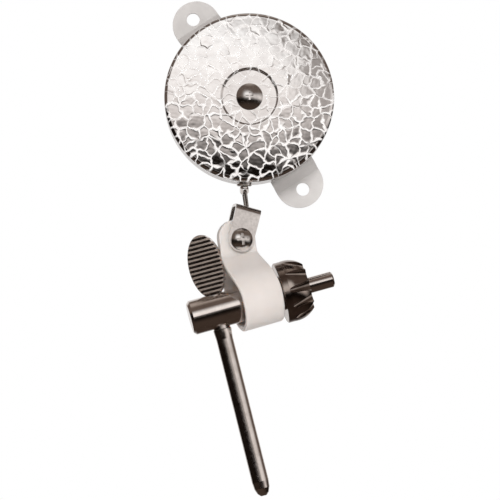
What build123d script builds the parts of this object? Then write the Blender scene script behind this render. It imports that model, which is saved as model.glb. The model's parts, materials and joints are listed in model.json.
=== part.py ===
from build123d import *

import os
from math import acos, cos, degrees, pi, radians, sin

# A retractable chuck-key reel: a spring reel in a round case on a wall strap, and a drill chuck key
# hanging from its tether by a wire link, a U-clip and a nylon loop strap.
# Millimetres. The origin is the centre of the two wall holes, on the wall plane. +Z is up, the front
# is -Y, and the key hangs down.

# ---- driving dimensions ----
CASE_RADIUS = 28.6
WALL_HOLE_PITCH = 69.85
WALL_HOLE_RADIUS = 2.25
STRAP_ANGLE = 32.8  # the strap's slope from vertical, lower end to the right
STRAP_WIDTH = 16.6
STRAP_THICK = 1.2
STRAP_STANDOFF = 3.0  # how far the strap's middle stands off the wall
STRAP_END = 6.0  # from a wall hole's centre to the strap's round tip
STRAP_BEND = 31.6  # from the centre to where a tab lies flat on the wall
STRAP_RISER = 3.2  # the sloped length between a tab and the raised middle
STRAP_RIVET_SPACING = 26.0
STRAP_RIVET_RADIUS = 1.25

SHEET = 0.8  # case sheet thickness
CUP_BACK = STRAP_STANDOFF + STRAP_THICK  # depths are measured forward from the wall plane
CUP_FRONT = 14.6
CUP_CORNER = 3.2
COVER_SHOULDER = 1.4
COVER_FLAT = 18.8  # depth of the cover's outer face where the shoulder ends
COVER_CROWN = 20.1  # depth of the cover's face at the edge of its dished middle
DISH_RADIUS = 9.75
DISH_DEPTH = 0.6
COVER_SEAT = COVER_CROWN - DISH_DEPTH
RIVET_STEM_RADIUS = 1.4
RIVET_STEM_LENGTH = 6.0

POST_RADIUS = 3.0
POST_NECK_RADIUS = 2.2
RUNNING_GAP = 0.05
DRUM_BACK = 6.4
DRUM_FRONT = 15.9
DRUM_SHEET = 0.9
DRUM_CORE_RADIUS = 17.0
DRUM_FLANGE_RADIUS = 25.6
ARBOR_RADIUS = 5.0

TETHER_RADIUS = 0.8
TETHER_PITCH = 1.65
EXIT_X = -1.5
EXIT_DEPTH = 10.6
EYELET_FACE_Z = -29.3
EYELET_TUBE_RADIUS = 1.9
EYELET_BORE_RADIUS = 1.2
EYELET_FLANGE_RADIUS = 2.6
LEAD_TOP_Z = -28.9  # the stretch that is drawn out starts here, inside the eyelet
FERRULE_TOP_Z = EYELET_FACE_Z - 0.1
LEAD_END_Z = FERRULE_TOP_Z - 0.6

YAW = 12.5  # the hanging parts are turned this far about the vertical
LINK_WIRE_RADIUS = 0.45
LINK_TILT = 8.0
EYE_Z = -30.9
LINK_LENGTH = 7.3  # between the wire's centre lines at the two bends
LINK_TOP_HALF = 1.75
LINK_LOW_HALF = 1.35
LINK_SLACK = 0.35  # between the link's lower bend and the clip's bridge
CLIP_TILT = -14.0
CLIP_WIDTH = 8.9
CLIP_THICK = 1.0
CLIP_DEPTH = 7.2
CLIP_BEND = 2.0
CLIP_SCREW_DROP = 11.0  # from the bridge's mid-plane to the screw
SCREW_RADIUS = 2.0
SCREW_HEAD_RADIUS = 3.7
NUT_THICK = 2.6
LOOP_TILT = 15.8
LOOP_INNER_RADIUS = 9.7
LOOP_THICK = 1.7
LOOP_WIDTH = 13.8
LOOP_DROP = 18.9  # from the screw to the loop's centre
TAB_ABOVE_SCREW = 7.0

KEY_TILT = 15.6
KEY_YAW = 4.0
BAR_TILT = 14.2
KEY_BODY_RADIUS = 5.85
KEY_BODY_LENGTH = 31.8
PINION_RADIUS = 10.4
PINION_LENGTH = 9.7
PINION_NOSE_RADIUS = 7.8
PINION_TEETH = 12
PINION_RIM = 2.3
GULLET_REAR_RADIUS = 0.9
GULLET_FRONT_RADIUS = 1.9
GULLET_OVERRUN = 0.3  # how far the gullet's cutter runs on past the nose, as a share of its way
PILOT_RADIUS = 2.7
PILOT_LENGTH = 9.0
BAR_RADIUS = 2.88
BAR_FROM_END = 9.7  # along the key, from its plain end to the bar
BAR_LONG_LEG = 63.9
BAR_HOLE_RADIUS = 3.06
BAR_CROSSING = (-10.5, -EXIT_DEPTH, -71.5)
PAD_TURN = 30.0
PAD_LENGTH = 21.6
PAD_WIDTH = 12.6
PAD_THICK = 2.5
PAD_CENTRE = 15.5  # from the crossing to the pad's centre
RIB_PITCH = 1.46
RIB_COUNT = 13
RIB_DEPTH = 0.45


# Reel frame: x to the right, y up, z forward from the wall.
reel = Plane(origin=(0, 0, 0), x_dir=(1, 0, 0), z_dir=(0, -1, 0))
strap_plane = Plane(
    origin=(0, 0, 0),
    x_dir=(sin(radians(STRAP_ANGLE)), 0, -cos(radians(STRAP_ANGLE))),
    z_dir=(0, -1, 0),
)


def tilted(tilt, yaw=0.0, origin=(0, 0, 0)):
    """A frame whose x leans up by tilt degrees in the plane turned by yaw degrees about the vertical."""
    level = Vector(cos(radians(yaw)), sin(radians(yaw)), 0)
    up = Vector(0, 0, 1)
    x_dir = level * cos(radians(tilt)) + up * sin(radians(tilt))
    z_dir = up * cos(radians(tilt)) - level * sin(radians(tilt))
    return Plane(origin=origin, x_dir=x_dir, z_dir=z_dir)


def spun(profile_points):
    """A lathe-turned solid from (radius, depth) points, about the reel's axis."""
    face = make_face(Polyline([(r, 0, d) for r, d in profile_points], close=True))
    return reel * revolve(face, Axis.Z)


def closed_face(*lines):
    """The face inside a closed outline made of several lines and arcs."""
    return make_face(Wire([edge for line in lines for edge in line.edges()]))


def ring(inner, outer, low, high):
    return spun([(inner, low), (outer, low), (outer, high), (inner, high)])


def mounting_strap():
    half = WALL_HOLE_PITCH / 2 + STRAP_END
    rise = STRAP_BEND - STRAP_RISER
    centre_line = [
        (-half, STRAP_THICK / 2),
        (-STRAP_BEND, STRAP_THICK / 2),
        (-rise, STRAP_STANDOFF + STRAP_THICK / 2),
        (rise, STRAP_STANDOFF + STRAP_THICK / 2),
        (STRAP_BEND, STRAP_THICK / 2),
        (half, STRAP_THICK / 2),
    ]
    path = FilletPolyline(centre_line, radius=1.5)
    section = trace(path, STRAP_THICK)
    side = Plane(origin=(0, 0, 0), x_dir=strap_plane.x_dir, z_dir=-strap_plane.y_dir)
    bar = extrude(side * section, STRAP_WIDTH / 2, both=True)
    outline = Rectangle(2 * half, STRAP_WIDTH)
    outline = fillet(outline.vertices(), STRAP_WIDTH / 2 - 0.05)
    blank = extrude(strap_plane * outline, 8, both=True)
    bar = bar & blank
    for x in (-WALL_HOLE_PITCH / 2, WALL_HOLE_PITCH / 2):
        bar -= strap_plane * Pos(x, 0, 0) * Cylinder(WALL_HOLE_RADIUS, 20)
    for x in (-STRAP_RIVET_SPACING / 2, STRAP_RIVET_SPACING / 2):
        bar -= strap_plane * Pos(x, 0, 0) * Cylinder(STRAP_RIVET_RADIUS, 20)
    bar -= reel * Cylinder(POST_NECK_RADIUS, 20)
    return bar


def strap_rivets():
    points = [
        (0, STRAP_STANDOFF - 1.0),
        (1.5, STRAP_STANDOFF - 0.9),
        (2.3, STRAP_STANDOFF),
        (STRAP_RIVET_RADIUS, STRAP_STANDOFF),
        (STRAP_RIVET_RADIUS, CUP_BACK + SHEET),
        (2.1, CUP_BACK + SHEET),
        (1.6, CUP_BACK + SHEET + 0.6),
        (0, CUP_BACK + SHEET + 0.6),
    ]
    face = make_face(Polyline([(r, 0, d) for r, d in points], close=True))
    rivet = revolve(face, Axis.Z)
    places = (-STRAP_RIVET_SPACING / 2, STRAP_RIVET_SPACING / 2)
    return Compound([strap_plane * Pos(x, 0, 0) * rivet for x in places])


def back_cup():
    outer = make_face(
        Polyline(
            [(0, 0, CUP_BACK), (CASE_RADIUS, 0, CUP_BACK), (CASE_RADIUS, 0, CUP_FRONT), (0, 0, CUP_FRONT)],
            close=True,
        )
    )
    body = revolve(outer, Axis.Z)
    body = fillet(body.edges().group_by(Axis.Z)[0], CUP_CORNER)
    hollow = Pos(0, 0, CUP_BACK + SHEET) * Cylinder(
        CASE_RADIUS - SHEET, 20, align=(Align.CENTER, Align.CENTER, Align.MIN)
    )
    hollow = fillet(hollow.edges().group_by(Axis.Z)[0], CUP_CORNER - SHEET)
    body = reel * (body - hollow)
    body -= reel * Cylinder(POST_NECK_RADIUS, 20)
    for x in (-STRAP_RIVET_SPACING / 2, STRAP_RIVET_SPACING / 2):
        body -= strap_plane * Pos(x, 0, 0) * Cylinder(STRAP_RIVET_RADIUS, 20)
    body -= Pos(EXIT_X, -EXIT_DEPTH, -CASE_RADIUS) * Cylinder(EYELET_TUBE_RADIUS, 6)
    return body


def exit_eyelet():
    inner_top = -(CASE_RADIUS - SHEET) + 0.9
    inner_low = -(CASE_RADIUS - SHEET) + 0.3
    points = [
        (EYELET_BORE_RADIUS, EYELET_FACE_Z),
        (EYELET_FLANGE_RADIUS - 0.3, EYELET_FACE_Z),
        (EYELET_FLANGE_RADIUS, EYELET_FACE_Z + 0.3),
        (EYELET_FLANGE_RADIUS, -CASE_RADIUS),
        (EYELET_TUBE_RADIUS, -CASE_RADIUS),
        (EYELET_TUBE_RADIUS, inner_low),
        (2.4, inner_low),
        (2.4, inner_top),
        (EYELET_BORE_RADIUS + 0.4, inner_top),
        (EYELET_BORE_RADIUS, inner_top - 0.4),
    ]
    face = make_face(Polyline([(r, 0, z) for r, z in points], close=True))
    return Pos(EXIT_X, -EXIT_DEPTH, 0) * revolve(face, Axis.Z)


def front_cover():
    lip_back = 13.1
    lip_radius = CASE_RADIUS - SHEET - RUNNING_GAP
    shoulder_centre = (CASE_RADIUS - COVER_SHOULDER, COVER_FLAT - COVER_SHOULDER)
    inner_shoulder = COVER_SHOULDER - SHEET
    post_hole = 2.6

    def p(radius, depth):
        return (radius, 0, depth)

    mid = cos(radians(45))
    edges = [
        Line(p(CASE_RADIUS, CUP_FRONT + 0.15), p(CASE_RADIUS, shoulder_centre[1])),
        ThreePointArc(
            p(CASE_RADIUS, shoulder_centre[1]),
            p(shoulder_centre[0] + COVER_SHOULDER * mid, shoulder_centre[1] + COVER_SHOULDER * mid),
            p(shoulder_centre[0], COVER_FLAT),
        ),
        ThreePointArc(
            p(shoulder_centre[0], COVER_FLAT),
            p((shoulder_centre[0] + DISH_RADIUS) / 2, (COVER_FLAT + COVER_CROWN) / 2 + 0.22),
            p(DISH_RADIUS, COVER_CROWN),
        ),
        Line(p(DISH_RADIUS, COVER_CROWN), p(DISH_RADIUS - 0.4, COVER_CROWN - DISH_DEPTH)),
        Line(p(DISH_RADIUS - 0.4, COVER_CROWN - DISH_DEPTH), p(post_hole, COVER_CROWN - DISH_DEPTH)),
        Line(p(post_hole, COVER_CROWN - DISH_DEPTH), p(post_hole, COVER_CROWN - DISH_DEPTH - SHEET)),
        Line(
            p(post_hole, COVER_CROWN - DISH_DEPTH - SHEET),
            p(DISH_RADIUS, COVER_CROWN - DISH_DEPTH - SHEET),
        ),
        Line(
            p(DISH_RADIUS, COVER_CROWN - DISH_DEPTH - SHEET),
            p(shoulder_centre[0], COVER_FLAT - SHEET),
        ),
        ThreePointArc(
            p(shoulder_centre[0], COVER_FLAT - SHEET),
            p(shoulder_centre[0] + inner_shoulder * mid, shoulder_centre[1] + inner_shoulder * mid),
            p(CASE_RADIUS - SHEET, shoulder_centre[1]),
        ),
        Line(p(CASE_RADIUS - SHEET, shoulder_centre[1]), p(lip_radius - SHEET, shoulder_centre[1] - 1.2)),
        Line(p(lip_radius - SHEET, shoulder_centre[1] - 1.2), p(lip_radius - SHEET, lip_back)),
        Line(p(lip_radius - SHEET, lip_back), p(lip_radius, lip_back)),
        Line(p(lip_radius, lip_back), p(lip_radius, CUP_FRONT + 0.15)),
        Line(p(lip_radius, CUP_FRONT + 0.15), p(CASE_RADIUS, CUP_FRONT + 0.15)),
    ]
    return reel * revolve(closed_face(*edges), Axis.Z)


def centre_post():
    return spun(
        [
            (0, 1.4),
            (2.6, 1.5),
            (3.8, 2.1),
            (3.8, STRAP_STANDOFF),
            (POST_NECK_RADIUS, STRAP_STANDOFF),
            (POST_NECK_RADIUS, CUP_BACK + SHEET),
            (POST_RADIUS, CUP_BACK + SHEET),
            (POST_RADIUS, COVER_SEAT - SHEET),
            (2.55, COVER_SEAT - SHEET),
            (2.55, COVER_SEAT),
            (RIVET_STEM_RADIUS, COVER_SEAT),
            (RIVET_STEM_RADIUS, COVER_SEAT - RIVET_STEM_LENGTH),
            (0, COVER_SEAT - RIVET_STEM_LENGTH),
        ]
    )


def front_rivet():
    head_radius = 4.45
    head_height = 2.0
    edge = 0.5
    dome = ThreePointArc(
        (head_radius, 0, COVER_SEAT + edge),
        (head_radius * 0.62, 0, COVER_SEAT + edge + (head_height - edge) * 0.66),
        (0, 0, COVER_SEAT + head_height),
    )
    outline = Polyline(
        [
            (0, 0, COVER_SEAT + head_height),
            (0, 0, COVER_SEAT - RIVET_STEM_LENGTH),
            (RIVET_STEM_RADIUS, 0, COVER_SEAT - RIVET_STEM_LENGTH),
            (RIVET_STEM_RADIUS, 0, COVER_SEAT),
            (head_radius, 0, COVER_SEAT),
            (head_radius, 0, COVER_SEAT + edge),
        ]
    )
    rivet = revolve(closed_face(dome, outline), Axis.Z)
    for angle in (0, 90):
        rivet -= Pos(0, 0, COVER_SEAT + head_height) * Rot(0, 0, angle) * Box(2.6, 0.6, 1.8)
    return reel * rivet


def drum():
    bore = POST_RADIUS + RUNNING_GAP
    core_inner = DRUM_CORE_RADIUS - 1.2
    return spun(
        [
            (bore, DRUM_BACK),
            (DRUM_FLANGE_RADIUS, DRUM_BACK),
            (DRUM_FLANGE_RADIUS, DRUM_BACK + DRUM_SHEET),
            (DRUM_CORE_RADIUS, DRUM_BACK + DRUM_SHEET),
            (DRUM_CORE_RADIUS, DRUM_FRONT - DRUM_SHEET),
            (DRUM_FLANGE_RADIUS, DRUM_FRONT - DRUM_SHEET),
            (DRUM_FLANGE_RADIUS, DRUM_FRONT),
            (core_inner, DRUM_FRONT),
            (core_inner, DRUM_BACK + DRUM_SHEET),
            (bore, DRUM_BACK + DRUM_SHEET),
        ]
    )


def drum_cover():
    """The plate that closes the spring's chamber and runs on the post."""
    return ring(POST_RADIUS + RUNNING_GAP, DRUM_CORE_RADIUS - 1.2, DRUM_FRONT - DRUM_SHEET, DRUM_FRONT)


def spring_arbor():
    return ring(POST_RADIUS, ARBOR_RADIUS, DRUM_BACK + DRUM_SHEET + 0.3, DRUM_FRONT - DRUM_SHEET - 0.3)


def power_spring():
    """A flat strip wound in a spiral between the arbor and the drum's core wall."""
    strip = 0.3
    inner = ARBOR_RADIUS + 0.3
    outer = DRUM_CORE_RADIUS - 1.2 - strip - 0.05
    turns = 9
    steps_per_turn = 16

    def spiral(offset):
        count = turns * steps_per_turn
        points = []
        for i in range(count + 1):
            radius = inner + (outer - inner) * i / count + offset
            angle = 2 * pi * i / steps_per_turn
            points.append((radius * cos(angle), radius * sin(angle)))
        return points

    near = spiral(0)
    far = spiral(strip)
    outline = [
        Spline(near),
        Line(near[-1], far[-1]),
        Spline(list(reversed(far))),
        Line(far[0], near[0]),
    ]
    low = DRUM_BACK + DRUM_SHEET + 0.6
    high = DRUM_FRONT - DRUM_SHEET - 0.6
    return reel * Pos(0, 0, low) * extrude(closed_face(*outline), high - low)


def thrust_washers():
    """Two plastic washers on the post, behind and in front of the drum."""
    bore = POST_RADIUS + RUNNING_GAP
    rear = ring(bore, 6.5, CUP_BACK + SHEET + 0.15, DRUM_BACK - 0.15)
    front = ring(bore, 6.5, DRUM_FRONT + 0.15, COVER_SEAT - SHEET - 0.2)
    return Compound([rear, front])


def wound_tether():
    """The stored turns, drawn as rings side by side: four on the core and two on top of them."""
    rings = []
    first = EXIT_DEPTH - 1.5 * TETHER_PITCH
    layers = [
        (DRUM_CORE_RADIUS + TETHER_RADIUS + 0.05, first, 4),
        (DRUM_CORE_RADIUS + 3 * TETHER_RADIUS + 0.1, EXIT_DEPTH - TETHER_PITCH, 2),
    ]
    for radius, depth, count in layers:
        for i in range(count):
            section = reel * Pos(0, 0, depth + i * TETHER_PITCH) * Torus(radius, TETHER_RADIUS)
            rings.append(section)
    return Compound(rings)


def tether_inside():
    """The stretch from the winding to the exit, held inside the case."""
    lay_radius = DRUM_CORE_RADIUS + 5 * TETHER_RADIUS + 0.15
    bend_z = -24.6
    bend_radius = 4.5
    corner = Vector(EXIT_X, 0, bend_z)
    corner_angle = Vector(1, 0, 0).get_angle(corner)
    tangent_angle = corner_angle - degrees(acos(lay_radius / corner.length))
    start_angle = tangent_angle - 40
    flat = Plane(origin=(0, -EXIT_DEPTH, 0), x_dir=(1, 0, 0), z_dir=(0, -1, 0))
    touch = (lay_radius * cos(radians(tangent_angle)), -lay_radius * sin(radians(tangent_angle)))
    start = (lay_radius * cos(radians(start_angle)), -lay_radius * sin(radians(start_angle)))
    middle_angle = (tangent_angle + start_angle) / 2
    middle = (lay_radius * cos(radians(middle_angle)), -lay_radius * sin(radians(middle_angle)))
    run = FilletPolyline([touch, (EXIT_X, bend_z), (EXIT_X, LEAD_TOP_Z)], radius=bend_radius)
    path = flat * Wire([ThreePointArc(start, middle, touch), *run.edges()])
    section = Plane(origin=path @ 0, z_dir=path % 0) * Circle(TETHER_RADIUS)
    return sweep(section, path=path)


def tether_lead():
    """The stretch that is drawn out of the exit: at rest only a stub shows."""
    length = LEAD_TOP_Z - LEAD_END_Z
    return Pos(EXIT_X, -EXIT_DEPTH, LEAD_TOP_Z - length / 2) * Cylinder(TETHER_RADIUS, length)


def tether_ferrule():
    barrel_radius = 1.45
    barrel_low = FERRULE_TOP_Z - 0.9
    eye_width = 2.8
    eye_thick = 1.3
    eye_hole = 0.72
    frame = tilted(0, YAW, (EXIT_X, -EXIT_DEPTH, 0))
    barrel = Pos(0, 0, (FERRULE_TOP_Z + barrel_low) / 2) * Cylinder(barrel_radius, FERRULE_TOP_Z - barrel_low)
    barrel = fillet(barrel.edges().filter_by(GeomType.CIRCLE), 0.25)
    plate_outline = Pos(0, EYE_Z) * Circle(eye_width / 2)
    plate_outline += Pos(0, (EYE_Z + barrel_low + 0.3) / 2) * Rectangle(eye_width, barrel_low + 0.3 - EYE_Z)
    plate = extrude(Plane.XZ * plate_outline, eye_thick / 2, both=True)
    hole = Pos(0, 0, EYE_Z) * Rot(90, 0, 0) * Cylinder(eye_hole, 10)
    bore_length = FERRULE_TOP_Z - LEAD_END_Z
    bore = Pos(0, 0, FERRULE_TOP_Z - bore_length / 2) * Cylinder(TETHER_RADIUS, bore_length)
    return frame * (barrel + plate - hole - bore)


link_frame = tilted(LINK_TILT, YAW, (EXIT_X, -EXIT_DEPTH, EYE_Z))
BRIDGE_DROP = LINK_LENGTH - LINK_WIRE_RADIUS - LINK_SLACK - CLIP_THICK / 2
clip_origin = link_frame.from_local_coords((0, 0, -BRIDGE_DROP))
clip_frame = tilted(CLIP_TILT, YAW, clip_origin)
screw_point = clip_frame.from_local_coords((0, 0, -CLIP_SCREW_DROP))
screw_frame = tilted(LOOP_TILT, YAW, screw_point)


def wire_link():
    corners = [
        (0, -LINK_TOP_HALF, 0),
        (0, -LINK_LOW_HALF, -LINK_LENGTH),
        (0, LINK_LOW_HALF, -LINK_LENGTH),
        (0, LINK_TOP_HALF, 0),
    ]
    path = FilletPolyline(corners, radius=0.95, close=True)
    section = Plane(origin=path @ 0, z_dir=path % 0) * Circle(LINK_WIRE_RADIUS)
    return link_frame * sweep(section, path=path)


def u_clip():
    leg = CLIP_SCREW_DROP + CLIP_THICK / 2
    end_radius = CLIP_WIDTH / 2 - 0.2
    outer = Pos(0, -leg / 2 - 2.5 + CLIP_THICK / 2) * Rectangle(CLIP_DEPTH, leg + 5)
    outer = fillet(outer.vertices().group_by(Axis.Y)[-1], CLIP_BEND)
    inner = Pos(0, -leg / 2 - 3 - CLIP_THICK / 2) * Rectangle(CLIP_DEPTH - 2 * CLIP_THICK, leg + 6)
    inner = fillet(inner.vertices().group_by(Axis.Y)[-1], CLIP_BEND - CLIP_THICK)
    bent = extrude(Plane.YZ * (outer - inner), CLIP_WIDTH, both=True)
    top = CLIP_THICK
    half = CLIP_WIDTH / 2
    outline = make_face(
        Polyline(
            [(-half, top), (half, top), (end_radius, -CLIP_SCREW_DROP), (-end_radius, -CLIP_SCREW_DROP)],
            close=True,
        )
    )
    outline += Pos(0, -CLIP_SCREW_DROP) * Circle(end_radius)
    clip = bent & extrude(Plane.XZ * outline, CLIP_DEPTH, both=True)
    clip -= Pos(0, 0, -CLIP_SCREW_DROP) * Rot(90, 0, 0) * Cylinder(SCREW_RADIUS + 0.1, 20)
    for side in (-1, 1):
        slot = extrude(SlotOverall(2.6, 1.6), 3, both=True)
        clip -= Pos(0, side * (LINK_LOW_HALF + 0.05), 0) * slot
    return clip_frame * clip


def clamp_screw():
    head_low = CLIP_DEPTH / 2
    head_height = 2.1
    edge = 0.6
    dome = ThreePointArc(
        (SCREW_HEAD_RADIUS, 0, head_low + edge),
        (SCREW_HEAD_RADIUS * 0.68, 0, head_low + edge + (head_height - edge) * 0.62),
        (0, 0, head_low + head_height),
    )
    outline = Polyline(
        [
            (0, 0, head_low + head_height),
            (0, 0, -CLIP_DEPTH / 2 - NUT_THICK - 0.8),
            (SCREW_RADIUS - 0.3, 0, -CLIP_DEPTH / 2 - NUT_THICK - 0.8),
            (SCREW_RADIUS, 0, -CLIP_DEPTH / 2 - NUT_THICK - 0.5),
            (SCREW_RADIUS, 0, head_low),
            (SCREW_HEAD_RADIUS, 0, head_low),
            (SCREW_HEAD_RADIUS, 0, head_low + edge),
        ]
    )
    screw = revolve(closed_face(dome, outline), Axis.Z)
    for angle in (20, 110):
        screw -= Pos(0, 0, head_low + head_height) * Rot(0, 0, angle) * Box(4.0, 0.8, 2.4)
    screw -= Pos(0, 0, head_low + head_height) * Cylinder(0.75, 3.0)
    return clip_frame * Pos(0, 0, -CLIP_SCREW_DROP) * Rot(90, 0, 0) * screw


def clamp_nut():
    across_flats = 7.0
    nut = extrude(RegularPolygon(across_flats / 2, 6, major_radius=False), NUT_THICK)
    nut -= Cylinder(SCREW_RADIUS, 20)
    place = clip_frame * Pos(0, CLIP_DEPTH / 2, -CLIP_SCREW_DROP) * Rot(-90, 0, 0)
    return place * nut


def nylon_clamp():
    """A nylon strap bent to a loop, its two ends lying together as the tab between the clip's legs."""
    slit = 0.1
    knee = -6.2
    outer_radius = LOOP_INNER_RADIUS + LOOP_THICK
    loop_centre = (0, -LOOP_DROP)
    tab_half = slit + LOOP_THICK
    outer = make_hull(
        (Pos(*loop_centre) * Circle(outer_radius)).edges() + (Pos(0, knee) * Circle(tab_half)).edges()
    )
    outer += Pos(0, (TAB_ABOVE_SCREW + knee) / 2) * Rectangle(2 * tab_half, TAB_ABOVE_SCREW - knee)
    inner = make_hull(
        (Pos(*loop_centre) * Circle(LOOP_INNER_RADIUS)).edges() + (Pos(0, knee) * Circle(slit)).edges()
    )
    inner += Pos(0, (TAB_ABOVE_SCREW + knee) / 2 + 0.5) * Rectangle(2 * slit, TAB_ABOVE_SCREW - knee + 1)
    strap = extrude(Plane.YZ * (outer - inner), LOOP_WIDTH / 2, both=True)
    low = -LOOP_DROP - outer_radius - 1
    height = TAB_ABOVE_SCREW - low
    outline = Pos(0, TAB_ABOVE_SCREW - height / 2) * Rectangle(LOOP_WIDTH + 2, height)
    outline = fillet(outline.vertices().group_by(Axis.Y)[-1], LOOP_WIDTH / 2 - 0.6)
    outline = outline & Pos(0, TAB_ABOVE_SCREW - height / 2) * Rectangle(LOOP_WIDTH, height)
    strap = strap & extrude(Plane.XZ * outline, 2 * outer_radius, both=True)
    strap -= Rot(90, 0, 0) * Cylinder(SCREW_RADIUS + 0.1, 20)
    return screw_frame * strap


key_frame = tilted(KEY_TILT, KEY_YAW, BAR_CROSSING)
bar_frame = tilted(BAR_TILT, KEY_YAW, BAR_CROSSING)


def gullet_cutter(shoulder):
    """A cone that cuts one gullet between two teeth: it runs in from the nose and out behind the rim."""
    rear = Vector(PINION_RADIUS + GULLET_REAR_RADIUS, shoulder + PINION_RIM, 0)
    front = Vector(PINION_NOSE_RADIUS, shoulder + PINION_LENGTH, 0)
    along = front - rear
    ahead = front + along * GULLET_OVERRUN
    front_radius = GULLET_REAR_RADIUS + (GULLET_FRONT_RADIUS - GULLET_REAR_RADIUS) * (1 + GULLET_OVERRUN)
    middle = Plane(origin=(rear + ahead) * 0.5, z_dir=along)
    return middle * Cone(GULLET_REAR_RADIUS, front_radius, (ahead - rear).length)


def key_spindle():
    """Body, bevel pinion and pilot, turned from one piece, with a cross hole for the bar."""
    start = -BAR_FROM_END
    shoulder = start + KEY_BODY_LENGTH
    nose = shoulder + PINION_LENGTH
    tip = nose + PILOT_LENGTH
    chamfer = 0.9
    outline = [
        Polyline(
            [
                (0, start),
                (KEY_BODY_RADIUS - chamfer, start),
                (KEY_BODY_RADIUS, start + chamfer),
                (KEY_BODY_RADIUS, shoulder),
                (PINION_RADIUS - 0.3, shoulder),
                (PINION_RADIUS, shoulder + 0.3),
                (PINION_RADIUS, shoulder + PINION_RIM),
            ]
        ),
        ThreePointArc(
            (PINION_RADIUS, shoulder + PINION_RIM),
            (PINION_RADIUS - 0.55, shoulder + 0.7 * PINION_LENGTH),
            (PINION_NOSE_RADIUS, nose),
        ),
        Polyline(
            [
                (PINION_NOSE_RADIUS, nose),
                (PILOT_RADIUS, nose),
                (PILOT_RADIUS, tip - 0.5),
                (PILOT_RADIUS - 0.5, tip),
                (0, tip),
                (0, start),
            ]
        ),
    ]
    spindle = revolve(closed_face(*outline), Axis.Y)
    cutter = gullet_cutter(shoulder)
    for i in range(PINION_TEETH):
        spindle -= Rot(0, 360 / PINION_TEETH * i, 0) * cutter
    spindle = Rot(0, 0, -90) * spindle
    placed = key_frame * spindle
    placed -= bar_frame * Cylinder(BAR_HOLE_RADIUS, 3 * KEY_BODY_RADIUS)
    return placed


def tommy_bar():
    """The cross bar: a round leg with a staked collar and a drawn point, and a ribbed thumb pad."""
    top = KEY_BODY_RADIUS - 0.5
    low = -BAR_LONG_LEG
    collar_top = -KEY_BODY_RADIUS - 0.35
    leg = revolve(
        make_face(
            Polyline(
                [
                    (0, 0, top),
                    (BAR_RADIUS, 0, top),
                    (BAR_RADIUS, 0, collar_top),
                    (BAR_RADIUS + 0.25, 0, collar_top - 0.2),
                    (BAR_RADIUS + 0.2, 0, collar_top - 1.0),
                    (BAR_RADIUS, 0, collar_top - 3.5),
                    (BAR_RADIUS, 0, low + 5.0),
                    (BAR_RADIUS - 0.25, 0, low + 2.6),
                    (BAR_RADIUS - 0.9, 0, low + 0.9),
                    (BAR_RADIUS - 1.8, 0, low),
                    (0, 0, low),
                ],
                close=True,
            )
        ),
        Axis.Z,
    )
    outline = Pos(0, PAD_CENTRE) * Ellipse(PAD_WIDTH / 2, PAD_LENGTH / 2)
    pad = extrude(Plane.XZ * outline, PAD_THICK / 2, both=True)
    pad = fillet(pad.edges(), 0.6)
    for i in range(RIB_COUNT + 1):
        z = PAD_CENTRE + (i - RIB_COUNT / 2) * RIB_PITCH
        for side in (-1, 1):
            groove = Box(PAD_WIDTH + 4, 2 * RIB_DEPTH * 0.7071, 2 * RIB_DEPTH * 0.7071)
            pad -= Pos(0, side * PAD_THICK / 2, z) * Rot(45, 0, 0) * groove
    return bar_frame * (leg + Rot(0, 0, -PAD_TURN) * pad)


PARTS = {
    "mounting_strap": mounting_strap,
    "strap_rivets": strap_rivets,
    "back_cup": back_cup,
    "front_cover": front_cover,
    "centre_post": centre_post,
    "front_rivet": front_rivet,
    "exit_eyelet": exit_eyelet,
    "spring_arbor": spring_arbor,
    "thrust_washers": thrust_washers,
    "tether_inside": tether_inside,
    "drum": drum,
    "drum_cover": drum_cover,
    "power_spring": power_spring,
    "wound_tether": wound_tether,
    "tether_lead": tether_lead,
    "tether_ferrule": tether_ferrule,
    "wire_link": wire_link,
    "u_clip": u_clip,
    "clamp_screw": clamp_screw,
    "clamp_nut": clamp_nut,
    "nylon_clamp": nylon_clamp,
    "key_spindle": key_spindle,
    "tommy_bar": tommy_bar,
}

os.makedirs("parts", exist_ok=True)
for name, make in PARTS.items():
    export_step(make(), f"parts/{name}.step")
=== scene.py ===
import json
import math

import bmesh
import bpy
import numpy as np
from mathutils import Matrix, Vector


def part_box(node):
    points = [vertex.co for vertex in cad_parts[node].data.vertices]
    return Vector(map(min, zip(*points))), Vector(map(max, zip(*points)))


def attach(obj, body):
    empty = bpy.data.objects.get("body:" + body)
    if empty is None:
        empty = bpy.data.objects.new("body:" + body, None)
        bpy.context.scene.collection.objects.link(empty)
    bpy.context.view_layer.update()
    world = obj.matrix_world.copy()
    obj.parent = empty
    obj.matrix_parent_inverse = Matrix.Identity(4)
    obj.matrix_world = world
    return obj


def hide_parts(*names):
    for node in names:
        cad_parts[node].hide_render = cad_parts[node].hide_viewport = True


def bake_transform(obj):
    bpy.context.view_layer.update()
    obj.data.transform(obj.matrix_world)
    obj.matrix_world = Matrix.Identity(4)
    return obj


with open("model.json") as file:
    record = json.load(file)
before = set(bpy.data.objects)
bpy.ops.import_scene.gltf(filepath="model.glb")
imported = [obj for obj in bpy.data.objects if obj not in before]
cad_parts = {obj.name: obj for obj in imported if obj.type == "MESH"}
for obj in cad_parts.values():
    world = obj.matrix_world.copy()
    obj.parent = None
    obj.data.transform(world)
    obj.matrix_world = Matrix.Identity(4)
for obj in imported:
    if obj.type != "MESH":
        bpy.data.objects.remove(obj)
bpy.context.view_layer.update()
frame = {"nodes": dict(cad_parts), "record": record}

MM = 0.001

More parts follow.
